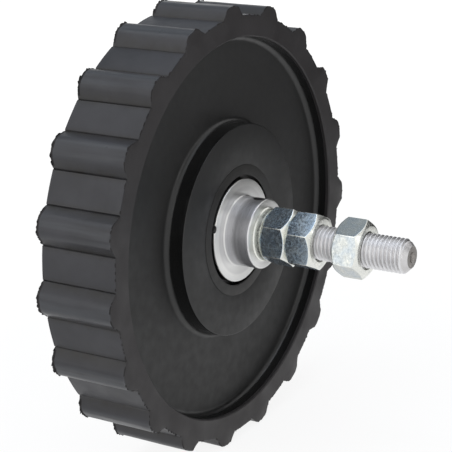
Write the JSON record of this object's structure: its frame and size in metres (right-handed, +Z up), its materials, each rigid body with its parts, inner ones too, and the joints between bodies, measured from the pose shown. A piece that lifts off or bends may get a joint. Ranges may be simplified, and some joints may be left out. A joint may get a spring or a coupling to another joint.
{
  "type": "harvester roller",
  "caption": "Ribbed rubber-tyred support roller on sealed ball bearings, with a threaded stub axle, flanged spacer, spring lock washer and hexagon nuts.",
  "frame": {"origin": "the wheel's centre, on the axle, midway between the tyre's two sides", "axes": "+Z up, Y along the axle with its threaded end towards -Y (the front), +X across the wheel"},
  "size_m": [0.2098, 0.1315, 0.209],
  "materials": {
    "tyre_rubber": "satin moulded rubber",
    "black_painted_iron": "matt black paint on cast iron",
    "machined_steel": "oiled, dull",
    "spring_steel": "blackened",
    "pressed_steel": "zinc plated sheet",
    "thread_steel": "bright, machined thread",
    "turned_steel": "fine turned",
    "plated_steel": "mottled zinc plating",
    "bearing_steel": "ground",
    "seal_rubber": "matt",
    "cage_polyamide": "moulded"
  },
  "bodies": {
    "axle": {"axle_stud": "thread_steel", "flanged_spacer": "turned_steel", "front_bearing_inner_ring": "bearing_steel", "rear_bearing_inner_ring": "bearing_steel", "spring_lock_washer": "plated_steel", "bearing_nut": "plated_steel", "seat_nut": "plated_steel"},
    "roller": {"rubber_tyre": "tyre_rubber", "wheel_disc": "black_painted_iron", "hub_sleeve": "machined_steel", "bearing_circlip": "spring_steel", "front_bearing_outer_ring": "bearing_steel", "rear_bearing_outer_ring": "bearing_steel", "front_bearing_front_seal": "seal_rubber", "front_bearing_rear_seal": "seal_rubber", "rear_bearing_front_seal": "seal_rubber", "rear_bearing_rear_seal": "seal_rubber", "dust_cap": "pressed_steel"},
    "front_rolling_set": {"front_bearing_cage": "cage_polyamide", "front_bearing_balls": "bearing_steel"},
    "rear_rolling_set": {"rear_bearing_cage": "cage_polyamide", "rear_bearing_balls": "bearing_steel"},
    "outer_clamp_nut": {"clamp_nut": "plated_steel"}
  },
  "joints": [
    {"name": "roller_spin", "type": "hinge", "parent": "axle", "child": "roller", "pos_m": [0, 0, 0], "axis": [0, 1, 0], "continuous": true},
    {"name": "front_cage_spin", "type": "hinge", "parent": "axle", "child": "front_rolling_set", "pos_m": [0, -0.0065, 0], "axis": [0, 1, 0], "continuous": true},
    {"name": "rear_cage_spin", "type": "hinge", "parent": "axle", "child": "rear_rolling_set", "pos_m": [0, 0.0085, 0], "axis": [0, 1, 0], "continuous": true},
    {"name": "clamp_nut_travel", "type": "slide", "parent": "axle", "child": "outer_clamp_nut", "axis": [0, -1, 0], "range_m": [-0.0105, 0.03]}
  ],
  "couplings": [
    {"joint": "front_cage_spin", "follows": "roller_spin", "ratio": 0.63229},
    {"joint": "rear_cage_spin", "follows": "roller_spin", "ratio": 0.63229}
  ]
}
